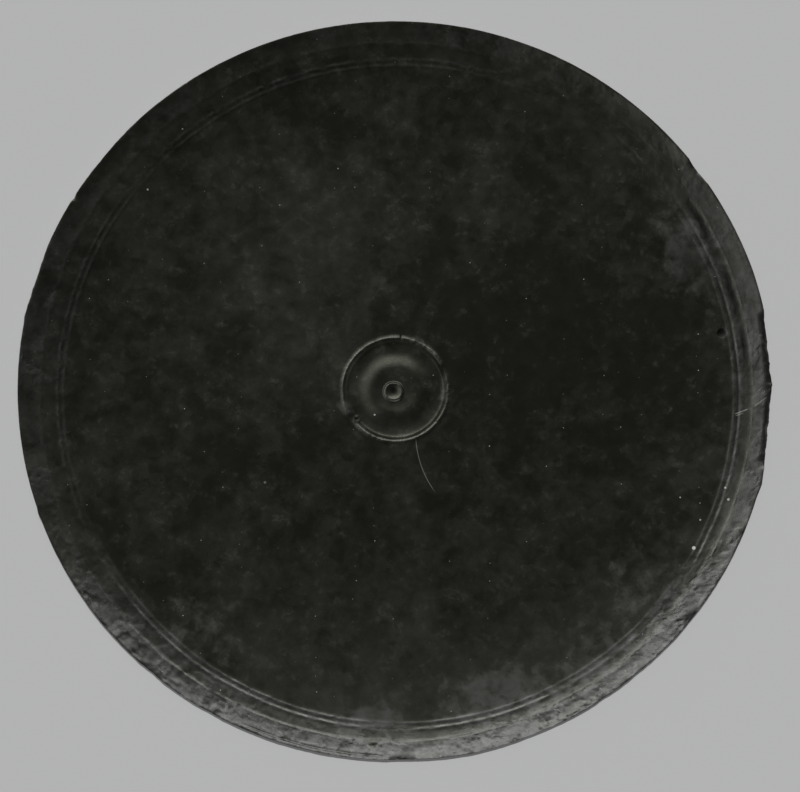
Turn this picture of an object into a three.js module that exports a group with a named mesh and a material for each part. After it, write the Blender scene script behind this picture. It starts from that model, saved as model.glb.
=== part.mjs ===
// A cast bronze mirror: a plain disc with a dished back, on which are turned a moulded rim and a ringed boss.
// It lies on its polished face. Millimetres, +Z up; the origin is on the table, under the disc's centre.
import * as THREE from "three";

// The disc
const discRadius = 90;
const plateThickness = 2.2;
const faceRise = 1.5; // the polished face is slightly convex: its edge stands this far off the table
const restRadius = 25; // the flat in the middle of the face, which the mirror lies on
const field = { from: restRadius, to: 79.7, height: 1.5, power: 3.5 }; // the dished back

// The rim on the back, as radii and as heights over the dished field
const beadRise = { from: 79.3, to: 81.5, height: 0.22 };
const innerBead = { centre: 79.95, before: 0.42, after: 0.8, height: 0.07 };
const outerBead = { centre: 81.4, before: 0.42, after: 0.75, height: 0.1 };
const beadStep = { from: 80.85, to: 81.4, height: 0.08 };
const ledge = { from: 81.4, to: 84.6, height: 0.55, power: 1 };
const outerStep = { from: 84.4, to: 85, height: 0.13 };
const rimSlope = { from: 84.8, to: 89.7, height: 1.48, bend: 0.34 };
const shoulder = { from: 89.5, to: discRadius, drop: 0.15, power: 2 };

// The turnings were not quite on one centre
const rimShift = { x: 0.93, y: -0.72 };
const rimShiftGrows = { from: 20, to: 60 };
const rimShiftFades = { from: 82, to: 86.5 };
const bossShift = { x: 0.1, y: 0 };
const bossShiftFades = { from: 13, to: 20 };
const knobShift = { x: -0.45, y: -0.6 };
const knobShiftFades = { from: 2.8, to: 6 };

// The outer wall between the polished face and the rim's shoulder
const wallFoot = 0.5;
const footRound = 0.7;
const outOfRound = 0.2; // how much shorter the disc is from front to back, at each end

// The boss in the middle of the back, from its ring inwards
const ring = { centre: 12.64, halfWidth: 0.5, height: 0.27 };
const ringStep = { from: 11.15, to: 11.65, height: 0.1 };
const moat = { from: 9.8, to: 11.6, depth: 0.1 };
const dome = { from: 5.3, to: 9.4, height: 0.6 };
const dish = { from: 2.9, to: 6.4, depth: 0.14 };
const knob = { from: 2.3, to: 3, height: 0.5 };
const bowl = { radius: 2.15, depth: 0.5 }; // the knob's hollow

// Wear, by the angle about +Z from +X, in degrees
const edgeLosses = [
  { angle: 354, span: 14, depth: 0.65, drop: 1.6 },
  { angle: 5.5, span: 12, depth: 0.65, drop: 1.6 },
  { angle: 141, span: 16, depth: 0.15, drop: 0 },
  { angle: 162, span: 13, depth: 0.28, drop: 0.1 },
  { angle: 230, span: 9, depth: 0.22, drop: 0.1 },
  { angle: 271, span: 8, depth: 0, drop: 0.4 },
  { angle: 309, span: 26, depth: 0.18, drop: 0.2 },
  { angle: 321, span: 8, depth: 0, drop: 0.5 },
];
const edgeSwells = [
  { angle: 18, span: 24, depth: -0.15, drop: 0 },
  { angle: 282, span: 18, depth: -0.28, drop: 0 },
  { angle: 344.5, span: 9, depth: -0.35, drop: 0 },
];
const lossReach = 2; // how far in from the edge a loss still pulls the rim
const ringGap = { angle: 211, span: 34, share: 0.7 }; // where the boss's ring is knocked down

const segments = 96;

const clamp01 = (t) => Math.min(1, Math.max(0, t));

// 0 before from, 1 after to, and smooth between them.
function ease(r, { from, to }) {
  const t = clamp01((r - from) / (to - from));
  return t * t * (3 - 2 * t);
}

// A rounded bump: 1 at its centre, 0 from halfWidth outwards.
function bump(r, { centre, halfWidth }) {
  return 0.5 + 0.5 * Math.cos(Math.PI * clamp01(Math.abs(r - centre) / halfWidth));
}

// A rounded bump whose flanks have their own widths.
function bead(r, { centre, before, after }) {
  return bump(r, { centre, halfWidth: r < centre ? before : after });
}

// A rounded bump round the disc, for a stretch of wear at an angle in degrees.
function stretch(degrees, { angle, span }) {
  const away = Math.abs(((degrees - angle + 540) % 360) - 180);
  return bump(away, { centre: 0, halfWidth: span / 2 });
}

// How far from 0 to 1 a radius is along a stretch, raised to the stretch's power.
function curveUp(r, { from, to, power }) {
  return clamp01((r - from) / (to - from)) ** power;
}

// The polished face: a flat in the middle, then a parabola up to faceRise at the edge.
function faceHeight(r) {
  return faceRise * clamp01((r - restRadius) / (discRadius - restRadius)) ** 2;
}

function rimRelief(r) {
  const t = clamp01((r - rimSlope.from) / (rimSlope.to - rimSlope.from));
  return (
    beadRise.height * ease(r, beadRise) +
    innerBead.height * bead(r, innerBead) +
    outerBead.height * bead(r, outerBead) +
    beadStep.height * ease(r, beadStep) +
    ledge.height * curveUp(r, ledge) +
    outerStep.height * ease(r, outerStep) +
    rimSlope.height * ((1 - rimSlope.bend) * t + rimSlope.bend * t * t) -
    shoulder.drop * curveUp(r, shoulder)
  );
}

function bossRelief(r, degrees) {
  const keptRing = 1 - ringGap.share * stretch(degrees, ringGap);
  return (
    keptRing * ring.height * bump(r, ring) -
    ringStep.height * (1 - ease(r, ringStep)) -
    moat.depth * (1 - ease(r, moat)) +
    dome.height * (1 - ease(r, dome)) -
    dish.depth * (1 - ease(r, dish)) +
    knob.height * (1 - ease(r, knob)) -
    bowl.depth * clamp01(1 - (r / bowl.radius) ** 2)
  );
}

function backHeight(r, degrees) {
  return plateThickness + field.height * curveUp(r, field) + rimRelief(r) + bossRelief(r, degrees);
}

// Radii spread evenly over each stretch, from the middle outwards: [start, end, steps].
function spreadRadii(stretches) {
  return stretches.flatMap(([start, end, steps]) =>
    Array.from({ length: steps }, (_, i) => start + ((end - start) * i) / steps),
  );
}

const faceRadii = spreadRadii([
  [0, restRadius, 1],
  [restRadius, discRadius - footRound, 3],
]);

const backRadii = spreadRadii([
  [0, bowl.radius, 3],
  [bowl.radius, knob.from, 1],
  [knob.from, knob.to, 2],
  [knob.to, dome.from, 2],
  [dome.from, dome.to, 4],
  [dome.to, ringStep.from, 1],
  [ringStep.from, ringStep.to, 1],
  [ringStep.to, ring.centre - ring.halfWidth, 1],
  [ring.centre - ring.halfWidth, ring.centre + ring.halfWidth, 4],
  [ring.centre + ring.halfWidth, bossShiftFades.to, 1],
  [bossShiftFades.to, restRadius, 1],
  [restRadius, innerBead.centre - innerBead.before, 5],
  [innerBead.centre - innerBead.before, innerBead.centre, 2],
  [innerBead.centre, innerBead.centre + innerBead.after, 2],
  [innerBead.centre + innerBead.after, outerBead.centre - outerBead.before, 1],
  [outerBead.centre - outerBead.before, outerBead.centre, 2],
  [outerBead.centre, outerBead.centre + outerBead.after, 2],
  [outerBead.centre + outerBead.after, outerStep.from, 1],
  [outerStep.from, outerStep.to, 2],
  [outerStep.to, shoulder.from, 4],
  [shoulder.from, shoulder.to, 2],
  [discRadius, discRadius, 1],
]);

// The turned profile, from the middle of the face out round the edge and back over the dished side.
function turnedProfile() {
  const face = faceRadii.map((r) => new THREE.Vector2(r, faceHeight(r)));
  const foot = [
    new THREE.Vector2(discRadius - footRound, faceHeight(discRadius - footRound)),
    new THREE.Vector2(discRadius, faceRise + wallFoot),
  ];
  const back = backRadii.map((r) => new THREE.Vector2(r, backHeight(r, 0))).reverse();
  return { points: [...face, ...foot, ...back], firstBack: face.length + foot.length };
}

// Moves a point on the back along with the turning it belongs to.
function offCentre(point, r) {
  const onRim = ease(r, rimShiftGrows) * (1 - ease(r, rimShiftFades));
  const onBoss = 1 - ease(r, bossShiftFades);
  const onKnob = 1 - ease(r, knobShiftFades);
  point.x += rimShift.x * onRim + bossShift.x * onBoss + knobShift.x * onKnob;
  point.y += rimShift.y * onRim + bossShift.y * onBoss + knobShift.y * onKnob;
}

// Moves a turned point to where wear and the off-centre turning leave it.
function worn(point, onBack) {
  const r = Math.hypot(point.x, point.y);
  const degrees = (THREE.MathUtils.radToDeg(Math.atan2(point.y, point.x)) + 360) % 360;
  const nearEdge = clamp01(1 - (discRadius - r) / lossReach);
  const wear = [...edgeLosses, ...edgeSwells];
  const loss = wear.reduce((sum, w) => sum + w.depth * stretch(degrees, w), 0);
  const drop = wear.reduce((sum, w) => sum + w.drop * stretch(degrees, w), 0);
  const shortened = outOfRound * (r > 0 ? point.y / r : 0) ** 2;
  const scale = r > 0 ? (r - (loss + shortened) * nearEdge) / r : 1;
  point.x *= scale;
  point.y *= scale;
  if (onBack) {
    offCentre(point, r);
    point.z = backHeight(r, degrees) - drop * nearEdge;
  }
  return point;
}

function discGeometry() {
  const { points, firstBack } = turnedProfile();
  const geometry = new THREE.LatheGeometry(points, segments).rotateX(Math.PI / 2);
  const position = geometry.getAttribute("position");
  const point = new THREE.Vector3();
  for (let i = 0; i < position.count; i++) {
    worn(point.fromBufferAttribute(position, i), i % points.length >= firstBack);
    position.setXYZ(i, point.x, point.y, point.z);
  }
  geometry.computeVertexNormals();
  return geometry;
}

const bronze = new THREE.MeshStandardMaterial({ color: 0x34342e, roughness: 0.42, metalness: 0.7 });

const mirrorDisc = new THREE.Mesh(discGeometry(), bronze);
mirrorDisc.name = "mirror_disc";

const mirror = new THREE.Group();
mirror.add(mirrorDisc);

export default mirror;
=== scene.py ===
import math
from types import SimpleNamespace
import bpy
import numpy as np
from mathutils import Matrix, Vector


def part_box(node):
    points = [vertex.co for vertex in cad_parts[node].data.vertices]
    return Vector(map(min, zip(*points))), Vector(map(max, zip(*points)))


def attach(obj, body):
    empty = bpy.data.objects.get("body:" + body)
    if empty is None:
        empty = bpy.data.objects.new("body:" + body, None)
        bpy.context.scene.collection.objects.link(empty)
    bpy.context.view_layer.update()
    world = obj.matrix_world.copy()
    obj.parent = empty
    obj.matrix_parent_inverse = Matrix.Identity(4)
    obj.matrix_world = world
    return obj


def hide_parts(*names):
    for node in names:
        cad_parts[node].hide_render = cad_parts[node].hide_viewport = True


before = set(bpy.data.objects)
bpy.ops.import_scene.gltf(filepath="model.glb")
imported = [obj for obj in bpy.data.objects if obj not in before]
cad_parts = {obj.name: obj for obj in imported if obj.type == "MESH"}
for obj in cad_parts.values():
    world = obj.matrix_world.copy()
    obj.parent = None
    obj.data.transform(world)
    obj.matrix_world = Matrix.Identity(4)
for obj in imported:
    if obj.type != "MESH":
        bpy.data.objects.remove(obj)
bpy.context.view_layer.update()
mm = 0.001  # shapes are worked out in millimetres and written to the mesh in metres


def clamp01(t):  # the value itself, held between 0 and 1
    return np.clip(t, 0.0, 1.0)


def ease(x, start, end):  # 0 before start, 1 after end, and 3t^2 - 2t^3 between them
    t = clamp01((x - start) / (end - start))
    return t * t * (3 - 2 * t)


def between(x, rises, falls):  # 1 between two stretches, eased up along the first and down along the second
    return ease(x, *rises) * (1 - ease(x, *falls))


def bump(x, centre, halfWidth):  # a cosine wave's hump: 1 at the centre, 0 from halfWidth outwards
    return 0.5 + 0.5 * np.cos(np.pi * clamp01(np.abs(x - centre) / halfWidth))


def curveUp(x, start, end, power):  # how far x is along a stretch, 0 to 1, raised to a power
    return clamp01((x - start) / (end - start)) ** power


def turnFrom(degrees, centre):  # the turn from one direction to another, -180 to 180 degrees
    return (degrees - centre + 540) % 360 - 180


def band(r, size):  # a cosine hump round the axis: its radius, half width and strength
    middle, half, strength = size
    return strength * bump(r, middle, half)


def sector(degrees, size):  # a cosine hump round one direction: its middle and half span in degrees
    middle, half = size
    return bump(turnFrom(degrees, middle), 0, half)


# Layered noise and scattered cones, shared by all the settings below
layering = {
    "turns": (0.6, 1.1),  # the first layer's turn, and how much more each next one has, so none line up
    "shifts": (0.37, 0.61),  # how much further along and across each layer is read
    "fades": 0.5,  # each layer's strength and size, as a share of the last one's
}
cones = {
    "middle": (0.2, 0.6),  # least, and how much more at most, as shares of a square
    "radius": (0.14, 0.3),
}


def hashed(ix, iy, seed):  # one random number from 0 to 1 for each cell; the large odd numbers mix the bits
    h = (ix * 374761393 + iy * 668265263 + seed * 974634777) & 0xFFFFFFFF
    h = ((h ^ (h >> 13)) * 1274126177) & 0xFFFFFFFF
    h = ((h ^ (h >> 16)) * 1103515245) & 0xFFFFFFFF
    return ((h ^ (h >> 15)) & 0xFFFFFF) / float(0xFFFFFF)


def cellNoise(x, y, seed, around=0):  # random values on a lattice joined by smooth curves, 0 to 1; x may wrap
    ix, iy = np.floor(x).astype(np.int64), np.floor(y).astype(np.int64)
    fx, fy = x - ix, y - iy
    fx, fy = fx * fx * (3 - 2 * fx), fy * fy * (3 - 2 * fy)
    jx = ix + 1
    if around:
        ix, jx = ix % around, jx % around
    low = hashed(ix, iy, seed) * (1 - fx) + hashed(jx, iy, seed) * fx
    high = hashed(ix, iy + 1, seed) * (1 - fx) + hashed(jx, iy + 1, seed) * fx
    return low * (1 - fy) + high * fy


def cloudNoise(x, y, size, layers, seed):  # a sum of cellNoise, each layer half as wide and strong; -1 to 1
    total, weight, strength = 0.0, 0.0, 1.0
    fades, (firstTurn, nextTurn) = layering["fades"], layering["turns"]
    for step in range(layers):
        turn = firstTurn + step * nextTurn
        u = (x * math.cos(turn) - y * math.sin(turn)) / size
        v = (x * math.sin(turn) + y * math.cos(turn)) / size
        total = total + strength * (cellNoise(u, v, seed + step) * 2 - 1)
        weight, strength, size = weight + strength, strength * fades, size * fades
    return total / weight


def ringNoise(degrees, across, arc, size, layers, seed):  # the same sum along the rim, closed on itself
    total, weight, strength = 0.0, 0.0, 1.0
    around = round(2 * math.pi * shape["radius"] / arc)
    fades, (along, over) = layering["fades"], layering["shifts"]
    for step in range(layers):
        u, v = degrees / 360 * around + step * along, across / size + step * over
        total = total + strength * (cellNoise(u, v, seed + step, around) * 2 - 1)
        weight, strength, around, size = weight + strength, strength * fades, around * 2, size * fades
    return total / weight


def cloudOn(at, size):  # cloudNoise at each point: its strength, size, layers and seed
    return size[0] * cloudNoise(at.x, at.y, *size[1:])


def ringOn(at, across, size):  # ringNoise at each point: its strength, arc, width, layers and seed
    return size[0] * ringNoise(at.degrees, across, *size[1:])


def spots(x, y, size, share, seed):  # cones scattered one to a square, where share of the squares have one
    ix, iy = np.floor(x / size).astype(np.int64), np.floor(y / size).astype(np.int64)
    (middle, middleMore), (least, more) = cones["middle"], cones["radius"]
    tallest = np.zeros_like(x)
    for jx, jy in ((i, j) for i in (-1, 0, 1) for j in (-1, 0, 1)):
        kx, ky = ix + jx, iy + jy
        away = np.hypot(x - (kx + middle + middleMore * hashed(kx, ky, seed)) * size,
                        y - (ky + middle + middleMore * hashed(kx, ky, seed + 1)) * size)
        radius = size * (least + more * hashed(kx, ky, seed + 2))
        cone = clamp01(1 - away / radius) * (hashed(kx, ky, seed + 3) < share)
        tallest = np.maximum(tallest, cone)
    return tallest


# The turned shape: radii and heights in millimetres, shifts from the disc's own axis

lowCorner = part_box("mirror_disc")[0]
shape = {
    "radius": -lowCorner.x / mm,
    "plate": 2.2,
    "faceRise": 1.5,  # how far the polished face's edge stands off the table
    "restRadius": 25.0,
    "fieldEdge": 79.7,
    "fieldRise": 1.5,
    "fieldPower": 3.5,
    "innerBead": (79.95, 0.42, 0.8, 0.055),  # centre, width before it, width after it, height
    "outerBead": (81.4, 0.42, 0.75, 0.075),
    "beadRise": (79.3, 81.5, 0.22),  # start, end, rise
    "beadStep": (80.85, 81.4, 0.08),
    "ledge": (81.4, 84.6, 0.57),
    "outerStep": (84.4, 85.0, 0.1),
    "outerLip": (84.95, 0.35, 0.4, 0.03),
    "softened": 0.9,  # how far the steps spread where crust hides them
    "rimSlope": (84.8, 89.9, 1.35),
    "slopeTerms": ((0.7, 1), (0.32, 2), (-0.02, 10)),  # share and power of each term of its curve
    "crest": (89.4, 90.0),
    "crestFresh": 0.01,  # how low the crest is rounded off
    "crestWorn": 0.07,
    "ring": (12.64, 0.5, 0.5, 0.27),
    "ringStep": (11.15, 11.65, -0.1),
    "moat": (9.8, 11.6, -0.1),
    "dome": (5.3, 9.4, 0.6),
    "dish": (2.9, 6.4, -0.14),
    "collar": (2.0, 2.65, 0.46),
    "bowlRadius": 2.0,
    "bowlDepth": 0.42,
    "knobSquare": 0.01,  # the knob is a little square and a little to one side
    "knobSide": (0.02, 2.0),
    "rimShift": (0.93, -0.72),  # the inner mouldings were turned a little off centre
    "rimShiftGrows": (20, 60),
    "rimShiftFades": (82, 86.5),
    "bossShift": (0.1, 0.0),
    "bossShiftFades": (13, 20),
    "knobShift": (-0.45, -0.6),
    "knobShiftFades": (2.8, 6),
    "wallFoot": 0.5,
    "footRound": 0.7,
    "outOfRound": 0.2,  # how much nearer the edge is along Y
}

# Losses and spurs of the rim: depth is into the edge, drop is down from the crest, and sharp is how
# steeply each starts, square-sided below 1
edgeWear = [
    dict(angle=353.8, span=13.0, depth=0.66, drop=1.7, sharp=0.5),
    dict(angle=356.6, span=3.0, depth=0.18, drop=0.2, sharp=0.8),
    dict(angle=6.2, span=10.8, depth=0.56, drop=1.6, sharp=0.4),
    dict(angle=2.7, span=2.2, depth=0.22, drop=0.2, sharp=0.6),
    dict(angle=0.6, span=2.6, depth=0.1, drop=1.1, sharp=0.8),
    dict(angle=344.8, span=4.4, depth=-0.34, drop=0.0, sharp=1.3),
    dict(angle=18.0, span=24.0, depth=-0.13, drop=0.0, sharp=1.0),
    dict(angle=35.9, span=4.6, depth=0.3, drop=0.5, sharp=0.6),
    dict(angle=142.0, span=13.0, depth=0.16, drop=0.1, sharp=0.6),
    dict(angle=149.0, span=1.6, depth=0.28, drop=0.5, sharp=0.9),
    dict(angle=162.5, span=9.0, depth=0.27, drop=0.3, sharp=0.5),
    dict(angle=169.0, span=2.6, depth=-0.2, drop=0.0, sharp=1.2),
    dict(angle=200.0, span=2.4, depth=-0.22, drop=0.0, sharp=1.2),
    dict(angle=230.0, span=4.2, depth=0.24, drop=0.3, sharp=0.6),
    dict(angle=241.0, span=3.6, depth=0.14, drop=0.2, sharp=0.6),
    dict(angle=271.2, span=4.4, depth=0.14, drop=0.34, sharp=0.25),
    dict(angle=282.0, span=16.0, depth=-0.26, drop=0.0, sharp=0.7),
    dict(angle=303.2, span=2.2, depth=0.2, drop=0.45, sharp=0.8),
    dict(angle=310.0, span=16.0, depth=0.16, drop=0.1, sharp=0.6),
    dict(angle=321.2, span=4.2, depth=0.08, drop=0.7, sharp=0.6),
]

# Stretches where crust hides the rim's mouldings: share is how much of them is lost
buried = [
    dict(angle=60.0, span=50.0, share=0.8),
    dict(angle=38.0, span=20.0, share=0.6),
    dict(angle=267.5, span=13.0, share=0.8),
    dict(angle=323.0, span=21.0, share=1.0),
    dict(angle=303.0, span=34.0, share=0.4),
    dict(angle=139.0, span=24.0, share=0.5),
    dict(angle=206.0, span=36.0, share=0.5),
    dict(angle=4.0, span=46.0, share=0.1),
]

# Painted shade: stretches of the rim made as dark as the field, their paler grey and crust taken back
shaded = [
    dict(angle=50.0, span=68.0, share=0.6),
    dict(angle=203.0, span=54.0, share=0.65),
    dict(angle=336.0, span=34.0, share=0.35),
]

# Stretches where the ledge is eaten out below the outer step
trenches = [
    dict(angle=29.5, span=9.0),
    dict(angle=16.0, span=9.5),
    dict(angle=7.2, span=6.4),
]

# Stretches where crust stands on the rim in thick, separate flakes
lumpy = [
    dict(angle=322.0, span=46.0, share=1.0),
    dict(angle=292.0, span=30.0, share=0.4),
    dict(angle=232.0, span=60.0, share=0.7),
    dict(angle=38.0, span=30.0, share=0.4),
]

# Stretches where the boss's ring is knocked down or faint
ringWear = [
    dict(angle=210.0, span=30.0, share=1.0),
    dict(angle=24.0, span=34.0, share=0.8),
    dict(angle=84.5, span=4.0, share=0.9),
    dict(angle=70.0, span=30.0, share=0.3),
    dict(angle=350.0, span=30.0, share=0.4),
]


def stretchOf(degrees, item, sharp=None):  # 1 in a stretch's middle, 0 at its ends; a cosine or a power
    away = np.abs(turnFrom(degrees, item["angle"])) / (item["span"] / 2)
    if sharp is None:
        return bump(away, 0, 1)
    return clamp01(1 - away) ** sharp


def keptOf(degrees, stretches):  # 1 where the turning is fresh, times 1 less each stretch's share
    kept = np.ones_like(degrees)
    for item in stretches:
        kept = kept * (1 - item["share"] * stretchOf(degrees, item))
    return kept


def faceHeight(r):  # flat in the middle, then a parabola up to faceRise at the edge
    return shape["faceRise"] * curveUp(r, shape["restRadius"], shape["radius"], 2)


def stepOf(r, size, soft=0.0):  # an eased rise between two radii, spread by soft at both ends
    start, end, rise = size
    return rise * ease(r, start - soft, end + soft)


def insideOf(r, size):  # the same rise, but standing inside the two radii instead of outside them
    start, end, rise = size
    return rise * (1 - ease(r, start, end))


def beadOf(r, size):  # a cosine hump whose two flanks have their own widths
    centre, before, after, height = size
    return height * bump(r, centre, np.where(r < centre, before, after))


def rimRelief(r, kept):  # two beads on a rise, a ledge, a step, and a slope that is a sum of powers
    soft = (1 - kept) * shape["softened"]
    relief = kept * sum(beadOf(r, shape[name]) for name in ("innerBead", "outerBead", "outerLip"))
    relief = relief + stepOf(r, shape["beadRise"]) + stepOf(r, shape["beadStep"], soft)
    start, end, rise = shape["ledge"]
    relief = relief + rise * curveUp(r, start, end, 1) + stepOf(r, shape["outerStep"], soft)
    start, end, rise = shape["rimSlope"]
    t = curveUp(r, start, end, 1)
    return relief + rise * sum(share * t ** power for share, power in shape["slopeTerms"])


def crestRelief(r, fresh):  # a parabola down to the edge: shallow where fresh, deeper where worn
    start, end = shape["crest"]
    return -(shape["crestFresh"] + (1 - fresh) * shape["crestWorn"]) * curveUp(r, start, end, 2)


def bossRelief(r, kept):  # from the ring inwards: ring, step, moat, low dome, shallow dish
    relief = kept * beadOf(r, shape["ring"]) + insideOf(r, shape["ringStep"])
    return relief + sum(insideOf(r, shape[name]) for name in ("moat", "dome", "dish"))


def knobRelief(r):  # a small collar round a bowl, which is a paraboloid
    return insideOf(r, shape["collar"]) - shape["bowlDepth"] * clamp01(1 - (r / shape["bowlRadius"]) ** 2)


# The grid of rings: finest on the rim, coarser over the field and on the hidden face

grid = {
    "back": [
        (0.35, 2.0, 6), (2.0, 3.0, 6), (3.0, 5.4, 6), (5.4, 9.2, 8), (9.2, 11.2, 4), (11.2, 13.0, 10),
        (13.0, 15.0, 3), (15.0, 38.0, 14), (38.0, 77.2, 22), (77.2, 79.4, 6), (79.4, 81.8, 13),
        (81.8, 84.1, 6), (84.1, 85.3, 6), (85.3, 88.6, 9), (88.6, 89.8, 6), (89.8, 90.0, 3),
        (90.0, 90.0, 1),
    ],  # start, end, steps
    "face": [(1.0, 20.0, 5), (20.0, 80.0, 18), (80.0, 89.3, 4)],
    "wallWays": (0.04, 0.5, 1.0),  # how far down the wall, and round the foot, each ring lies
    "footWays": (0.33, 0.67, 1.0),
    "fewest": 72,  # points on the smallest ring, doubled past each limit
    "backLimits": (1.2, 3.0, 38.0, 77.2),
    "faceLimits": (8.0, 20.0, 80.0),
}


def spread(stretches):  # radii spread evenly over each stretch, without its end
    return np.concatenate([np.linspace(a, b, n, endpoint=False) for a, b, n in stretches])


def pointsOn(r, limits):  # how many points a ring has: twice as many past each limit
    return grid["fewest"] * 2 ** int(sum(r >= limit for limit in limits))


back, wall, foot, face = range(4)  # the parts of the mirror that a ring may lie on


def layRings():  # each ring's radius, part, way down its part and number of points, from knob to face
    radius = shape["radius"]
    most = pointsOn(radius, grid["backLimits"])
    rings = [(r, back, 0.0, pointsOn(r, grid["backLimits"])) for r in spread(grid["back"])]
    rings += [(radius, wall, way, most) for way in grid["wallWays"]]
    rings += [(radius, foot, way, most) for way in grid["footWays"]]
    rings += [(r, face, 0.0, pointsOn(r, grid["faceLimits"])) for r in spread(grid["face"])[::-1]]
    return rings


def layPoints(rings):  # points spread evenly round each ring, and which part of the mirror each is on
    counts = np.array([n for _, _, _, n in rings])
    at = SimpleNamespace()
    at.r, at.part, at.way = (np.repeat([ring[k] for ring in rings], counts) for k in range(3))
    at.theta = np.concatenate([np.arange(n) / n for n in counts]) * 2 * np.pi
    at.degrees = np.degrees(at.theta)
    at.ux, at.uy = np.cos(at.theta), np.sin(at.theta)
    at.onBack, at.onWall, at.onFoot, at.onFace = (at.part == k for k in (back, wall, foot, face))
    at.onSide = at.onWall | at.onFoot
    return at, counts


def bandFaces(first, n, second, m):  # triangles between rings of n and m points, alike or one the double
    i = np.arange(min(n, m))
    j = (i + 1) % min(n, m)
    if n == m:
        a, b, c, d = first + i, second + i, second + j, first + j
        return np.concatenate([np.stack([a, b, c], 1), np.stack([a, c, d], 1)])
    if m == 2 * n:
        a, d = first + i, first + j
        b, c, e = second + 2 * i, second + 2 * i + 1, second + (2 * i + 2) % m
        return np.concatenate([np.stack([a, b, c], 1), np.stack([a, c, d], 1), np.stack([d, c, e], 1)])
    b, d = second + i, second + j
    a, c, e = first + 2 * i, first + 2 * i + 1, first + (2 * i + 2) % n
    return np.concatenate([np.stack([a, b, c], 1), np.stack([c, b, d], 1), np.stack([c, d, e], 1)])


def allFaces(counts):  # a band between each two rings, and a fan round the point in each middle
    starts = 1 + np.concatenate([[0], np.cumsum(counts)])
    faces = [bandFaces(starts[k], counts[k], starts[k + 1], counts[k + 1]) for k in range(len(counts) - 1)]
    i = np.arange(counts[0])
    faces.append(np.stack([0 * i, 1 + i, 1 + (i + 1) % counts[0]], 1))
    i = np.arange(counts[-1])
    faces.append(np.stack([starts[-2] + i, 0 * i + starts[-1], starts[-2] + (i + 1) % counts[-1]], 1))
    return np.concatenate(faces)


# Wear and crust. A noise's numbers are strength, size, layers, seed, or along the rim strength, arc, width,
# layers, seed. The noises ragged, rough, flake, grain, crack and chunk have no strength of their own

edge = {
    "reach": 2.0,  # how far in from the edge a loss still pulls the rim
    "dropPower": 1.5,
    "ragged": (1.1, 1, 3, 5),
    "raggedLoss": 0.35,
    "raggedDrop": 0.25,
    "raggedDepth": 0.05,
    "uneven": (0.04, 9, 1, 2, 8),
    "lane": 0.5,  # where across their width the edge's two noises are read
}


def wearEdge(at):  # the sum of each stretch's depth and drop, made ragged by noise along the edge
    ragged = ringNoise(at.degrees, edge["lane"], *edge["ragged"])
    at.loss, at.drop = np.zeros_like(at.r), np.zeros_like(at.r)
    for item in edgeWear:
        act = stretchOf(at.degrees, item, item["sharp"])
        at.loss += item["depth"] * act * (1 + edge["raggedLoss"] * ragged)
        at.drop += item["drop"] * act * (1 + edge["raggedDrop"] * ragged)
    at.loss += edge["raggedDepth"] * (1 + ragged) + ringOn(at, edge["lane"], edge["uneven"])
    at.nearEdge = clamp01(1 - (shape["radius"] - at.r) / edge["reach"])


def placePoints(at):  # each point pulled in by its loss, then moved along with the turning it belongs to
    radial = at.r - (at.loss + shape["outOfRound"] * at.uy * at.uy) * at.nearEdge
    at.x, at.y = radial * at.ux, radial * at.uy
    weights = {
        "rimShift": between(at.r, shape["rimShiftGrows"], shape["rimShiftFades"]),
        "bossShift": 1 - ease(at.r, *shape["bossShiftFades"]),
        "knobShift": 1 - ease(at.r, *shape["knobShiftFades"]),
    }
    for name, weight in weights.items():
        at.x = at.x + shape[name][0] * weight * at.onBack
        at.y = at.y + shape[name][1] * weight * at.onBack


decay = {
    "crumble": (1.2, 2.2, 2, 21),
    "crumbleLevel": 0.5,
    "longGaps": (0.8, 5.0, 1.5, 2, 23),
    "shortGaps": (0.7, 1.7, 0.8, 2, 29),
    "onMouldings": 0.35,  # how far crumbling lowers the mouldings, and the boss's ring
    "onRing": 0.4,
    "wander": (0.09, 3.4, 1, 3, 31),  # the mouldings' own unevenness
    "freshStarts": (246, 262),  # the stretch of crest that is still sharp, in degrees
    "freshEnds": (296, 312),
    "freshNoise": (0.2, 8, 1, 2, 27),
}


def crumbleTurnings(at):  # what is left of the turnings: 1, less the lost share, less a sum of three noises
    crumble = clamp01(decay["crumbleLevel"] + cloudOn(at, decay["crumble"]))
    for name in ("longGaps", "shortGaps"):
        crumble = crumble + clamp01(ringOn(at, at.r, decay[name]))
    at.kept = clamp01(keptOf(at.degrees, buried) - decay["onMouldings"] * crumble)
    at.keptRing = clamp01(keptOf(at.degrees, ringWear) - decay["onRing"] * crumble)
    at.wander = ringOn(at, 0, decay["wander"])
    fresh = between(at.degrees, decay["freshStarts"], decay["freshEnds"])
    at.fresh = clamp01(fresh + ringOn(at, 0, decay["freshNoise"]))


def turnedHeight(at):  # the plate and its dish, plus the reliefs of rim, crest, boss and knob
    lean, leanTurn = shape["knobSide"]
    squarish = at.r * (1 + shape["knobSquare"] * np.cos(4 * at.theta) + lean * np.sin(at.theta + leanTurn))
    z = shape["plate"]
    z = z + shape["fieldRise"] * curveUp(at.r, shape["restRadius"], shape["fieldEdge"], shape["fieldPower"])
    z = z + rimRelief(at.r + at.wander, at.kept) + crestRelief(at.r, at.fresh)
    return z + bossRelief(at.r, at.keptRing) + knobRelief(squarish)


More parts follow.
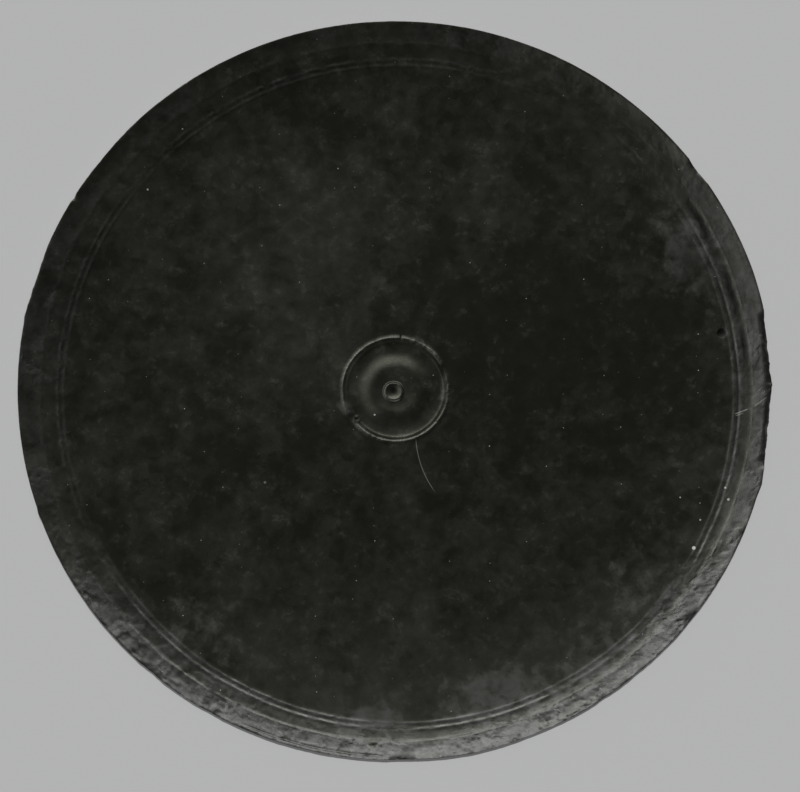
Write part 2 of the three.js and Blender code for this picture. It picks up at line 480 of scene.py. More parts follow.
crust = {
    "rimStarts": (84.3, 85.5),
    "bandStarts": (79.0, 80.0),
    "bandShare": 0.35,  # how much of the rim's corrosion the mouldings have
    "fieldStarts": (13.5, 16),
    "fieldEnds": (78.4, 79.2),
    "quiet": (112, 118),  # the upper side of the rim: least corroded, and given painted shade in the finish; middle and half span in degrees
    "quietPower": 0.4,
    "quietShare": 0.75,
    "quietSwell": 0.6,
    "zone": (1.5, 9.0, 2, 63),  # broad patches of stronger and weaker corrosion
    "zoneLevel": 0.45,
    "zoneBuried": 0.6,
    "zoneShare": 0.8,
    "warpX": (1.3, 3.0, 2, 101),  # bends the flakes' outlines
    "warpY": (1.3, 3.0, 2, 102),
    "swell": (0.07, 5.5, 2, 33),
    "streak": (0.05, 7.0, 1.6, 2, 37),
    "flake": (3.6, 4, 45),
    "flakeEdge": (-0.06, 0.07),
    "flakeHeight": 0.045,
    "grain": (1.2, 2, 41),
    "grainHeight": 0.03,
    "warts": (2.3, 0.4, 51),  # square, share, seed
    "wartHeight": 0.07,
    "pits": (1.9, 0.2, 57),
    "pitDepth": 0.13,
    "crack": (7.0, 3, 61),
    "crackFrom": 40,  # where its noise is read from, so that it differs from the flakes'
    "crackWidth": 0.035,
    "crackDepth": 0.05,
    "lumpStarts": (79.5, 83.0),
    "chunk": (1.9, 3, 97),
    "chunkFrom": (20, -9),
    "chunkEdge": (-0.12, 0.12),
    "chunkHeight": 0.075,
    "chunkGrain": 0.04,
    "fieldSwell": (0.03, 13.0, 2, 71),
    "fieldGrain": (0.006, 3.0, 2, 75),
}


def growCrust(at):  # where crust is, and its flakes, warts, pits, cracks and lumps, each from 0 to 1
    x, y = at.x, at.y
    at.onRim = ease(at.r, *crust["rimStarts"])
    at.onBand = ease(at.r, *crust["bandStarts"])
    at.quiet = sector(at.degrees, crust["quiet"]) ** crust["quietPower"]
    zone = crust["zoneLevel"] + cloudOn(at, crust["zone"])
    zone = clamp01(zone + crust["zoneBuried"] * (1 - keptOf(at.degrees, buried)))
    place = at.onRim + crust["bandShare"] * (at.onBand - at.onRim)
    strength = 1 - crust["zoneShare"] + crust["zoneShare"] * zone
    at.corroded = strength * place * (1 - crust["quietShare"] * at.quiet)
    warpX, warpY = x + cloudOn(at, crust["warpX"]), y + cloudOn(at, crust["warpY"])
    at.flake = ease(cloudNoise(warpX, warpY, *crust["flake"]), *crust["flakeEdge"])
    at.grain = cloudNoise(x, y, *crust["grain"])
    at.warts = spots(x, y, *crust["warts"])
    at.pits = spots(x, y, *crust["pits"])
    creases = cloudNoise(warpX + crust["crackFrom"], warpY, *crust["crack"])
    at.crack = clamp01(1 - np.abs(creases) / crust["crackWidth"])
    at.lumps = (1 - keptOf(at.degrees, lumpy)) * ease(at.r, *crust["lumpStarts"])
    fromX, fromY = crust["chunkFrom"]
    chunks = cloudNoise(warpX + fromX, warpY + fromY, *crust["chunk"])
    at.chunk = ease(chunks, *crust["chunkEdge"])


def crustHeight(at):  # each kind of crust times its height, summed, over the rim and faintly over the field
    swell = cloudOn(at, crust["swell"]) + ringOn(at, at.r, crust["streak"])
    z = at.onRim * swell * (1 - crust["quietSwell"] * at.quiet)
    z = z + at.lumps * (crust["chunkHeight"] * (at.chunk - 0.5) + crust["chunkGrain"] * at.grain)
    rough = crust["flakeHeight"] * (at.flake - 0.5) + crust["grainHeight"] * at.grain
    rough = rough + crust["wartHeight"] * at.warts
    rough = rough - crust["pitDepth"] * at.pits - crust["crackDepth"] * at.crack
    onField = between(at.r, crust["fieldStarts"], crust["fieldEnds"])
    dents = cloudOn(at, crust["fieldSwell"]) + cloudOn(at, crust["fieldGrain"])
    return z + at.corroded * rough + onField * dents


damage = {
    "gnawed": (0.35, 1.6, 1, 2, 79),  # how the eaten hollows and the worn bead tops stray across the rim
    "trenchAt": 83.45,
    "trenchHalf": 1.5,
    "trenchEdge": (0.2, 0.6),
    "trenchSharp": 0.5,
    "trenchDepth": 0.1,
    "pitAt": (77.97, 13.6),
    "pitHalf": 1.12,  # the radius of its dirt
    "pitEdge": (0.3, 1.4),
    "pitDepth": 0.2,
    "lipStarts": (244, 249),  # a turned groove that leaves a double lip on part of the crest, in degrees
    "lipEnds": (267, 268.5),
    "lipBand": (88.8, 0.4, 0.11),
}


def eatLedge(at):  # a flat-bottomed hollow along each trench, its edges strayed by noise
    at.gnawed = ringOn(at, 0, damage["gnawed"])
    across = bump(at.r, damage["trenchAt"] + at.gnawed, damage["trenchHalf"])
    across = ease(across, *damage["trenchEdge"])
    at.eaten = sum(stretchOf(at.degrees, item, damage["trenchSharp"]) * across for item in trenches)


def damageDepth(at):  # the hollows, the one deep round pit, the lip's groove and the edge's drop, summed
    pitX, pitY = damage["pitAt"]
    pit = 1 - ease(np.hypot(at.x - pitX, at.y - pitY), *damage["pitEdge"])
    groove = between(at.degrees, damage["lipStarts"], damage["lipEnds"]) * band(at.r, damage["lipBand"])
    depth = damage["trenchDepth"] * clamp01(at.eaten) + damage["pitDepth"] * pit * at.onBack
    return depth + groove + at.drop * at.nearEdge ** edge["dropPower"]


scar = {
    "lumpAt": (-11.2, -5.6),
    "lumpSize": (1.9, 2.3),
    "lumpNoise": (0.5, 1.4, 2, 107),
    "lumpHeight": 0.13,
    "blisterAt": (-9.1, -7.2),
    "blisterRing": (0.62, 0.45),  # radius, half width
    "blisterMiddle": (0.1, 0.5),
    "blisterSunk": 0.3,
    "blisterHeight": 0.09,
    "crumbs": (1.0, 1.0, 2, 109),
    "crumbTurn": (70, 20),
    "crumbBand": (12.4, 1.4, 0.22),  # radius, half width, height
    "fatTurn": (118, 34),  # a fatter stretch of the ring
    "fatBand": (12.2, 0.8, 0.05),
}


def scarHeight(at):  # a low bell-shaped lump and a burst blister on the ring, crumbs, and a fatter stretch
    (lumpX, lumpY), (lumpWide, lumpTall) = scar["lumpAt"], scar["lumpSize"]
    lump = np.exp(-((at.x - lumpX) / lumpWide) ** 2 - ((at.y - lumpY) / lumpTall) ** 2)
    lump = lump * (1 + cloudOn(at, scar["lumpNoise"]))
    blisterX, blisterY = scar["blisterAt"]
    away = np.hypot(at.x - blisterX, at.y - blisterY)
    sunk = scar["blisterSunk"] * (1 - ease(away, *scar["blisterMiddle"]))
    blister = bump(away, *scar["blisterRing"]) - sunk
    crumbs = sector(at.degrees, scar["crumbTurn"]) * clamp01(cloudOn(at, scar["crumbs"]))
    height = scar["lumpHeight"] * lump + scar["blisterHeight"] * blister
    height = height + crumbs * band(at.r, scar["crumbBand"])
    height = height + sector(at.degrees, scar["fatTurn"]) * band(at.r, scar["fatBand"])
    return height * at.onBack


side = {
    "rough": (2.0, 1.6, 3, 83),
    "roughReach": 0.05,
    "roughLevel": 0.2,
    "roughDown": 3.3,  # how much of the noise's width the wall's height takes
    "roughApart": 5,  # and how far from the wall's the foot's is read
    "hollow": 0.07,  # how far the wall curves in at half its height
    "dents": (0.02, 16.0, 2, 91),
    "dentStarts": (26, 40),
}


def closeSides(at, z):  # a wall straight down from the crest, a quarter-round foot, and the polished face
    wallTop = np.zeros_like(z)
    crest = z[at.onBack][-pointsOn(shape["radius"], grid["backLimits"]):]
    wallTop[at.onSide] = np.tile(crest, len(grid["wallWays"]) + len(grid["footWays"]))
    wallLow = shape["faceRise"] + shape["wallFoot"]
    footLow = faceHeight(shape["radius"] - shape["footRound"])
    quarter = at.way * np.pi / 2
    z = np.where(at.onWall, wallTop + (wallLow - wallTop) * at.way, z)
    z = np.where(at.onFoot, wallLow - (wallLow - footLow) * np.sin(quarter), z)
    lane = at.way * side["roughDown"] + at.part * side["roughApart"]
    rough = ringNoise(at.degrees, lane, *side["rough"]) + side["roughLevel"]
    inset = side["roughReach"] * rough * at.onSide + side["hollow"] * np.sin(np.pi * at.way) * at.onWall
    inset = inset + shape["footRound"] * (1 - np.cos(quarter)) * at.onFoot
    at.x, at.y = at.x - at.ux * inset, at.y - at.uy * inset
    dents = cloudOn(at, side["dents"]) * ease(at.r, *side["dentStarts"])
    return np.where(at.onFace, faceHeight(at.r) + np.maximum(dents, 0), z)


# Pale film and broad clouds on the back: centre and half sizes in millimetres, turn in degrees
film = [
    dict(x=-5.5, y=-79.2, wide=8.5, tall=4.0, turn=0, strength=0.9),
    dict(x=58.0, y=-45.0, wide=15.0, tall=13.0, turn=40, strength=0.45),
    dict(x=70.0, y=33.0, wide=17.0, tall=10.0, turn=-62, strength=0.62),
    dict(x=24.0, y=-74.0, wide=20.0, tall=9.0, turn=15, strength=0.7),
    dict(x=-11.7, y=-4.9, wide=2.3, tall=3.9, turn=32, strength=0.85),
    dict(x=-8.9, y=-8.6, wide=3.4, tall=1.5, turn=-36, strength=0.7),
    dict(x=6.0, y=11.8, wide=2.6, tall=1.5, turn=-30, strength=0.4),
    dict(x=11.4, y=1.0, wide=1.2, tall=6.5, turn=0, strength=0.5),
    dict(x=48.0, y=-64.0, wide=12.0, tall=8.0, turn=35, strength=0.7),
    dict(x=-46.0, y=-58.0, wide=14.0, tall=10.0, turn=-40, strength=0.45),
]
clouds = [
    dict(x=-24.0, y=40.0, wide=34.0, tall=26.0, turn=-30, strength=0.36),
    dict(x=0.0, y=0.0, wide=13.5, tall=13.5, turn=0, strength=0.8),
    dict(x=-20.0, y=8.0, wide=20.0, tall=22.0, turn=0, strength=0.3),
    dict(x=34.0, y=8.0, wide=44.0, tall=36.0, turn=0, strength=-0.7),
    dict(x=-45.0, y=-8.0, wide=28.0, tall=18.0, turn=0, strength=-0.3),
    dict(x=5.0, y=-62.0, wide=60.0, tall=26.0, turn=0, strength=0.4),
    dict(x=62.0, y=42.0, wide=26.0, tall=26.0, turn=0, strength=0.3),
]

# Where the finish differs: rings are radius, half width, share; turns are middle and half span in degrees
marks = {
    "wornBeads": ((80.05, 0.55, 0.35), (81.4, 0.6, 0.65), (84.95, 0.35, 0.4)),
    "wornRing": (12.64, 0.5, 1.0),
    "wornKnob": (2.15, 0.55, 0.9),
    # painted highlight on the rim slope's lower side, where the key light falls
    "crestHighlight": (88.0, 3.2, 0.55),
    "crestHighlightTurn": (279, 58),
    "wornWarts": 0.4,
    "rightTurn": (6, 44),
    "rightBead": (81.75, 0.8, 0.4),
    "rightGroove": (80.72, 0.42, 0.65),
    "rightLedge": (83.2, 1.4, 0.22),
    # painted shade: a darker band on the rim slope near 353 degrees
    "shade": (84.2, 2.8, 0.8),
    "shadeTurn": (353, 27),
    # painted light and shade on the quiet side: its tone lifted, its rim grey taken back
    "quietPaintedLight": 0.35,
    "quietPaintedShade": 0.95,
    "litSideTone": 0.9,  # painted light: the field is lighter towards the rim on the side that faces the key light
    "litSideTurn": (282, 80),
    "litSideStarts": (56, 80),
    "dirtyPits": 0.7,
    "dirtyCracks": 0.7,
    "dirtyTrenches": 0.62,
    "dirtyLumps": 0.2,
    # painted shade in the knob's bowl
    "bowlShade": 0.8,
    "bowlEdge": (0.3, 1.2),
    "bowlUp": 0.3,  # the painted shade lies off the bowl's middle, on its upper wall
    "sideCrust": 0.5,
    # painted shade on the wall along the lower right side
    "wallShade": 0.55,
    "wallShadeTurn": (299, 40),
    "wallStarts": 0.06,  # how far in from the edge the wall's finish reaches
}


def patchOf(x, y, item):  # an oval patch's strength times 1 less its distance squared, 0 outside it
    turn = math.radians(item["turn"])
    u = ((x - item["x"]) * math.cos(turn) + (y - item["y"]) * math.sin(turn)) / item["wide"]
    v = (-(x - item["x"]) * math.sin(turn) + (y - item["y"]) * math.cos(turn)) / item["tall"]
    return item["strength"] * clamp01(1 - np.hypot(u, v) ** 2)


def knobMiddle():  # the boss's shift and the knob's, added
    return [shape["bossShift"][k] + shape["knobShift"][k] for k in range(2)]


def wearAndSheenOf(at, onRight):  # cosine bands on the turnings' tops, times what is left of them, the warts, and a painted highlight on the lower rim slope
    turned = at.r + at.gnawed
    worn = sum(band(turned, size) for size in marks["wornBeads"]) + onRight * band(at.r, marks["rightBead"])
    worn = at.kept * worn + at.keptRing * band(at.r, marks["wornRing"]) + band(at.r, marks["wornKnob"])
    worn = worn + marks["wornWarts"] * at.corroded * at.warts
    # a painted highlight along the lower rim slope
    return worn + band(at.r, marks["crestHighlight"]) * sector(at.degrees, marks["crestHighlightTurn"])


def dirtAndShadeOf(at, onRight):  # shares of the pits, cracks, trenches and lumps, a darker groove and ledge on the right, and painted shade in the knob's bowl, added
    knobX, knobY = knobMiddle()
    fromBowl = np.hypot(at.x - knobX, at.y - marks["bowlUp"] - knobY)
    dirtAndShade = at.corroded * (marks["dirtyPits"] * at.pits + marks["dirtyCracks"] * at.crack)
    dirtAndShade = dirtAndShade + marks["dirtyTrenches"] * at.eaten + marks["dirtyLumps"] * at.lumps * (1 - at.chunk)
    # painted shade on the upper wall of the knob's bowl
    dirtAndShade = dirtAndShade + marks["bowlShade"] * (1 - ease(fromBowl, *marks["bowlEdge"]))
    groove = band(at.r + at.wander, marks["rightGroove"])
    return dirtAndShade + onRight * (groove + band(at.r, marks["rightLedge"]))


def finishValues(at):  # what the finish reads at each point: shares from 0 to 1, and a tone to add
    onRight = sector(at.degrees, marks["rightTurn"])
    shade = band(at.r + at.gnawed, marks["shade"]) * sector(at.degrees, marks["shadeTurn"])
    # painted shade: 1, less each shaded stretch's share and the shade band; it takes back the rim's grey and
    # crust
    lit = keptOf(at.degrees, shaded) * (1 - shade)
    # broad clouds, plus painted light on the quiet rim and on the field towards the lower rim
    tone = sum(patchOf(at.x, at.y, item) for item in clouds) + marks["quietPaintedLight"] * at.onRim * at.quiet
    tone = tone + marks["litSideTone"] * ease(at.r, *marks["litSideStarts"]) * sector(at.degrees, marks["litSideTurn"])
    # the rim's paler grey, taken back on the quiet side as painted shade, and by lit
    grey = 0.5 * (at.onBand + at.onRim) * (1 - marks["quietPaintedShade"] * at.quiet) * lit
    # painted shade on the wall along the lower right side
    wallShade = marks["wallShade"] * at.onSide * sector(at.degrees, marks["wallShadeTurn"])
    nearWall = ease(at.r, shape["radius"] - marks["wallStarts"], shape["radius"])
    return {
        "pale": sum(patchOf(at.x, at.y, item) for item in film) * at.onBack,
        "tone": tone * at.onBack,
        "rim": np.where(at.onBack, grey, 1.0 * at.onSide),
        "crust": np.where(at.onBack, at.corroded * at.flake * lit, marks["sideCrust"] * at.onSide),
        # dirt, with painted shade in the knob's bowl and on the lower right wall
        "hollow": clamp01(dirtAndShadeOf(at, onRight)) * at.onBack + wallShade,
        "worn": clamp01(wearAndSheenOf(at, onRight)) * at.onBack,
        "wall": np.maximum(nearWall * at.onBack, 1.0 * at.onSide),
    }


def buildMirror():  # heights summed point by point, with the sides closed and a point in each middle
    at, counts = layPoints(layRings())
    wearEdge(at)
    placePoints(at)
    crumbleTurnings(at)
    growCrust(at)
    eatLedge(at)
    z = turnedHeight(at) + crustHeight(at) + scarHeight(at) - damageDepth(at)
    z = closeSides(at, z)
    knobTop = shape["plate"] + bossRelief(np.zeros(1), 1.0)[0] + knobRelief(np.zeros(1))[0]
    points = np.concatenate([[[*knobMiddle(), knobTop]], np.stack([at.x, at.y, z], 1), [[0, 0, 0]]])
    values = {name: np.concatenate([[v[0]], v, [v[-1]]]) for name, v in finishValues(at).items()}
    return points * mm, allFaces(counts), values


def makeMesh(name, points, faces, values):  # a smooth triangle mesh that carries values at its points
    mesh = bpy.data.meshes.new(name)
    mesh.vertices.add(len(points))
    mesh.vertices.foreach_set("co", points.astype(np.float32).ravel())
    mesh.loops.add(faces.size)
    mesh.loops.foreach_set("vertex_index", faces.astype(np.int32).ravel())
    mesh.polygons.add(len(faces))
    mesh.polygons.foreach_set("loop_start", np.arange(0, faces.size, 3, dtype=np.int32))
    mesh.polygons.foreach_set("use_smooth", np.ones(len(faces), dtype=bool))
    for kind, numbers in values.items():
        mesh.attributes.new(kind, "FLOAT", "POINT").data.foreach_set("value", numbers.astype(np.float32))
    mesh.update()
    mesh.validate()
    return mesh


def addToScene(name, data):  # a new object in the scene
    thing = bpy.data.objects.new(name, data)
    bpy.context.scene.collection.objects.link(thing)
    return thing


print("mirror: working out the surface")
mesh = makeMesh("patinated_disc", *buildMirror())
mirror = addToScene("patinated_disc", mesh)
print("mirror:", len(mesh.polygons), "triangles")


# Finish: a dark olive-black patina on bronze

def feed(tree, socket, value):  # joins a socket to another one, or sets its own value
    if isinstance(value, bpy.types.NodeSocket):
        tree.links.new(value, socket)
    else:
        socket.default_value = value


def addNode(tree, kind, inputs, **settings):  # one shader node with its settings, and what feeds its inputs
    node = tree.nodes.new("ShaderNode" + kind)
    for name, value in settings.items():
        setattr(node, name, value)
    for name, value in inputs.items():
        feed(tree, node.inputs[name], value)
    return node


def sums(tree, operation, a, b=0.0, c=0.0, clamp=False):  # arithmetic on up to three values
    return addNode(tree, "Math", {0: a, 1: b, 2: c}, operation=operation, use_clamp=clamp).outputs[0]


def addUp(tree, first, *others):  # all the values added up, held between 0 and 1
    for value in others[:-1]:
        first = sums(tree, "ADD", first, value)
    return sums(tree, "ADD", first, others[-1], clamp=True)


def swing(tree, noise, reach):  # a noise near 0.5, times reach, less half of reach: a value near 0
    return sums(tree, "MULTIPLY_ADD", noise, reach, -reach / 2)


def distanceTo(tree, flat, place):  # how far the surface is from a place on the back
    return addNode(tree, "VectorMath", {0: flat, 1: (*place, 0)}, operation="DISTANCE").outputs["Value"]


def noiseAt(tree, place, size):  # layered noise, near 0.5
    names = ("Vector", "Scale", "Detail", "Roughness", "Distortion")
    return addNode(tree, "TexNoise", dict(zip(names, (place, *size)))).outputs["Fac"]


def spreadTo(tree, value, low, high, outLow=0.0, outHigh=1.0):  # eases one range of values to another
    inputs = {"Value": value, "From Min": low, "From Max": high, "To Min": outLow, "To Max": outHigh}
    return addNode(tree, "MapRange", inputs, interpolation_type="SMOOTHSTEP").outputs["Result"]


def blendColour(tree, share, a, b):  # share of b mixed into a
    a, b = (v if isinstance(v, bpy.types.NodeSocket) else (*v, 1) for v in (a, b))
    return addNode(tree, "Mix", {"Factor": share, 6: a, 7: b}, data_type="RGBA").outputs[2]


def cellsAt(tree, place, scale):  # flat random cells: how far the nearest middle is, and three values a cell
    cells = addNode(tree, "TexVoronoi", {"Vector": place, "Scale": scale}, voronoi_dimensions="2D")
    parts = addNode(tree, "SeparateColor", {0: cells.outputs["Color"]})
    return cells.outputs["Distance"], parts.outputs


def blotchAt(tree, place, scale):  # one random value a cell, its outline moved about by a finer noise
    inputs = {"Vector": place, "Scale": scale * finish["waverScale"], "Detail": finish["waverDetail"]}
    waver = addNode(tree, "TexNoise", inputs).outputs["Color"]
    reach = (finish["waverReach"] / scale,) * 3
    moved = addNode(tree, "VectorMath", {0: waver, 1: reach, 2: place}, operation="MULTIPLY_ADD")
    return cellsAt(tree, moved.outputs[0], scale)[1][0]


def scratchAt(tree, flat, line):  # its strength near a circle's radius and near the stretch's middle, else 0
    off = sums(tree, "SUBTRACT", distanceTo(tree, flat, line["centre"]), line["radius"])
    thin = sums(tree, "LESS_THAN", sums(tree, "ABSOLUTE", off), line["half"])
    reach = line["reach"]
    fromMiddle = distanceTo(tree, flat, line["middle"])
    near = spreadTo(tree, fromMiddle, reach * finish["scratchFades"], reach, line["strength"], 0)
    return sums(tree, "MULTIPLY", thin, near)


patina = {
    "dark": (0.0160, 0.0173, 0.0115),
    "light": (0.050, 0.0519, 0.0410),
    "rim": (0.0865, 0.087, 0.086),
    "crust": (0.107, 0.1075, 0.1068),
    # lighter for worn tops, and for a painted highlight on the lower rim slope
    "worn": (0.105, 0.105, 0.099),
    "film": (0.089, 0.091, 0.0905),
    # dark for dirt in pits and cracks, and for painted shade in the knob's bowl and on the lower right wall
    "dirtAndShade": (0.006, 0.0062, 0.0052),
    "wall": (0.058, 0.058, 0.057),
    "dust": (0.45, 0.45, 0.42),
    "roughness": 0.36,
    "metal": 0.85,
}

# How strongly each noise acts. Noises are scale to a millimetre, detail, roughness, distortion; ranges are
# where a value starts and ends, and a third and fourth number are what it becomes there
finish = {
    "cloud": (0.07, 4, 0.55, 0.2),
    "mottle": (0.26, 4, 0.55, 0.3),
    "fleck": (0.9, 3, 0.6, 0.4),
    "fine": (2.6, 2, 0.6, 0.0),
    "curl": (0.16, 2, 0.5, 1.2),
    "waverScale": 1.6,
    "waverDetail": 3.0,
    "waverReach": 1.2,
    "toneShare": 0.5,
    "toneLevel": 0.22,
    "cloudSwing": 1.4,
    "mottleSwing": 0.5,
    "blotchSwings": ((0.30, 0.24), (0.62, 0.16)),  # scale, swing
    "flakeScale": 0.95,
    "flakeRange": (0.84, 0.9, 0, 0.3),
    "flakeMottle": (0.46, 0.6),
    "fleckRange": (0.62, 0.72, 0, 0.26),
    "curlRange": (0.004, 0.014, 0.5, 0),
    "curlMottle": (0.56, 0.66),
    "fineSwing": 0.2,
    "rimMottle": (1.2, -0.1),
    "rimFleck": 0.8,
    "crustShare": 0.4,
    "filmMottle": 1.4,
    "filmFleck": 0.5,
    "filmRange": (0.2, 0.75, 0, 0.38),
    "filmCloud": (0.3, 0.65, 0.4, 1),
    "filmDull": 0.6,
    "wornFleck": (0.3, 0.6, 0.1, 0.6),
    "scratchFades": 0.7,
    "pitEdge": (0.8, 1.15),
    "speckScale": 0.22,
    "speckReach": (0.07, -0.038),
    "speckPower": 3.0,
    "speckShare": (0.6, 0.03),
    "roughMottle": 0.14,
    "roughCrust": 0.06,
    "roughFilm": 0.14,
    "roughDust": 0.3,
    "reliefFine": (0.02, 0.004),  # in millimetres: on crust, and everywhere
    "reliefFleck": (0.05, 0.010),
    "reliefMottle": (0.06, 0.020),  # on the rim, and everywhere
    "reliefChips": 0.035,
    "chipScale": 0.8,
}

# Single grains and scratches on the back, in millimetres
grains = [
    dict(place=(70.9, -38.6), half=0.42, strength=0.9),
    dict(place=(78.5, -24.1), half=0.25, strength=0.6),
    dict(place=(79.2, -27.0), half=0.3, strength=0.6),
    dict(place=(67.8, -26.3), half=0.2, strength=0.5),
    dict(place=(72.5, -31.8), half=0.22, strength=0.5),
    dict(place=(-59.4, 48.7), half=0.22, strength=0.5),
    dict(place=(-51.1, 63.5), half=0.18, strength=0.4),
    dict(place=(-4.9, -6.1), half=0.22, strength=0.6),
    dict(place=(-31.0, -22.5), half=0.3, strength=0.2),
]
scratches = [
    dict(centre=(29.2, -10.6), radius=24.3, middle=(6.2, -18.6), reach=7.6, half=0.09, strength=0.22),
    dict(centre=(62.0, 50.7), radius=60.0, middle=(82.5, -5.7), reach=1.8, half=0.1, strength=0.35),
    dict(centre=(62.0, 50.7), radius=60.5, middle=(82.0, -6.3), reach=1.1, half=0.08, strength=0.25),
    dict(centre=(54.4, 46.9), radius=60.0, middle=(87.1, -3.4), reach=2.0, half=0.09, strength=0.24),
    dict(centre=(53.4, 47.9), radius=61.6, middle=(86.4, -4.1), reach=1.2, half=0.07, strength=0.18),
]


def startLook(tree):  # places in millimetres, the shared noises at them, and the mesh's own values
    look = SimpleNamespace()
    onObject = addNode(tree, "TexCoord", {}).outputs["Object"]
    scaled = addNode(tree, "VectorMath", {0: onObject, "Scale": 1 / mm}, operation="SCALE")
    look.place = scaled.outputs[0]
    look.flat = addNode(tree, "VectorMath", {0: look.place, 1: (1, 1, 0)}, operation="MULTIPLY").outputs[0]
    for name in ("cloud", "mottle", "fleck", "fine"):
        setattr(look, name, noiseAt(tree, look.place, finish[name]))
    for name in ("pale", "tone", "rim", "crust", "hollow", "worn", "wall"):
        setattr(look, name, addNode(tree, "Attribute", {}, attribute_name=name).outputs["Fac"])
    return look


def fieldColour(tree, look):  # dark to light patina, by a sum of clouds, blotches, flecks and pale curls
    flakes = spreadTo(tree, blotchAt(tree, look.place, finish["flakeScale"]), *finish["flakeRange"])
    flakes = sums(tree, "MULTIPLY", flakes, spreadTo(tree, look.mottle, *finish["flakeMottle"]))
    curl = sums(tree, "SUBTRACT", noiseAt(tree, look.place, finish["curl"]), 0.5)
    curl = spreadTo(tree, sums(tree, "ABSOLUTE", curl), *finish["curlRange"])
    curl = sums(tree, "MULTIPLY", curl, spreadTo(tree, look.mottle, *finish["curlMottle"]))
    blotches = [
        swing(tree, blotchAt(tree, look.place, scale), reach) for scale, reach in finish["blotchSwings"]
    ]
    value = addUp(
        tree,
        sums(tree, "MULTIPLY_ADD", look.tone, finish["toneShare"], finish["toneLevel"]),
        swing(tree, look.cloud, finish["cloudSwing"]),
        swing(tree, look.mottle, finish["mottleSwing"]),
        *blotches,
        flakes,
        spreadTo(tree, look.fleck, *finish["fleckRange"]),
        curl,
        swing(tree, look.fine, finish["fineSwing"]),
    )
    return blendColour(tree, value, patina["dark"], patina["light"])


def filmOf(tree, look):  # the film's patches with edges broken up by noise, thinner where clouds are dark
    broken = sums(tree, "ADD", look.pale, swing(tree, look.mottle, finish["filmMottle"]))
    broken = sums(tree, "ADD", broken, swing(tree, look.fleck, finish["filmFleck"]))
    cloudShare = spreadTo(tree, look.cloud, *finish["filmCloud"])
    return sums(tree, "MULTIPLY", spreadTo(tree, broken, *finish["filmRange"]), cloudShare)


def dustOf(tree, look):  # the strongest of the random specks, the single grains and the scratches
    distance, chosen = cellsAt(tree, look.place, finish["speckScale"])
    speck = sums(tree, "LESS_THAN", distance, sums(tree, "MULTIPLY_ADD", chosen[0], *finish["speckReach"]))
    strength = sums(tree, "POWER", chosen[1], finish["speckPower"])
    dusty = sums(tree, "MULTIPLY", speck, sums(tree, "MULTIPLY_ADD", strength, *finish["speckShare"]))
    for grain in grains:
        inside = sums(tree, "LESS_THAN", distanceTo(tree, look.flat, grain["place"]), grain["half"])
        dusty = sums(tree, "MAXIMUM", dusty, sums(tree, "MULTIPLY", inside, grain["strength"]))
    for line in scratches:
        dusty = sums(tree, "MAXIMUM", dusty, scratchAt(tree, look.flat, line))
    return dusty


def patinaColour(tree, look):  # the field's colour, then one mix for each coat that lies on it
    rimTone = addUp(
        tree,
        sums(tree, "MULTIPLY_ADD", look.mottle, *finish["rimMottle"]),
        swing(tree, look.fleck, finish["rimFleck"]),
    )
    rimColour = blendColour(tree, rimTone, patina["dark"], patina["rim"])
    colour = blendColour(tree, look.rim, fieldColour(tree, look), rimColour)
    crustShare = sums(tree, "MULTIPLY", look.crust, finish["crustShare"])
    wearAndSheenShare = sums(tree, "MULTIPLY", look.worn, spreadTo(tree, look.fleck, *finish["wornFleck"]))
    inner, outer = (damage["pitHalf"] * share for share in finish["pitEdge"])
    pitShare = spreadTo(tree, distanceTo(tree, look.flat, damage["pitAt"]), inner, outer, 1, 0)
    # the lighter coat for wear also carries a painted highlight; the dark coat for dirt also carries painted
    # shade
    coats = (
        (crustShare, "crust"), (look.film, "film"), (wearAndSheenShare, "worn"), (look.wall, "wall"),
        (look.hollow, "dirtAndShade"), (pitShare, "dirtAndShade"), (look.dust, "dust"),
    )
    for share, name in coats:
        colour = blendColour(tree, share, colour, patina[name])
    return colour


def roughnessOf(tree, look):  # the patina's own, plus shares of mottle, crust, film and dust
    mottle = finish["roughMottle"]
    rough = sums(tree, "MULTIPLY_ADD", look.mottle, mottle, patina["roughness"] - mottle / 2)
    for value, name in ((look.crust, "roughCrust"), (look.film, "roughFilm"), (look.dust, "roughDust")):
        rough = sums(tree, "MULTIPLY_ADD", value, finish[name], rough)
    return rough


def metalOf(tree, look):  # the patina's own, times 1 less the strongest of dust, film and wall
    dulled = sums(tree, "MAXIMUM", look.dust, sums(tree, "MULTIPLY", look.film, finish["filmDull"]))
    dulled = sums(tree, "MAXIMUM", dulled, look.wall)
    return sums(tree, "MULTIPLY_ADD", dulled, -patina["metal"], patina["metal"])


def reliefOf(tree, look):  # relief finer than the mesh, in millimetres: each noise times its height there
    relief = sums(tree, "MULTIPLY", look.fine, sums(tree, "MULTIPLY_ADD", look.crust, *finish["reliefFine"]))
    flecks = sums(tree, "MULTIPLY_ADD", look.crust, *finish["reliefFleck"])
    relief = sums(tree, "MULTIPLY_ADD", look.fleck, flecks, relief)
    mottles = sums(tree, "MULTIPLY_ADD", look.rim, *finish["reliefMottle"])
    relief = sums(tree, "MULTIPLY_ADD", look.mottle, mottles, relief)
    chips = sums(tree, "MULTIPLY", look.crust, finish["reliefChips"])
    return sums(tree, "MULTIPLY_ADD", blotchAt(tree, look.place, finish["chipScale"]), chips, relief)


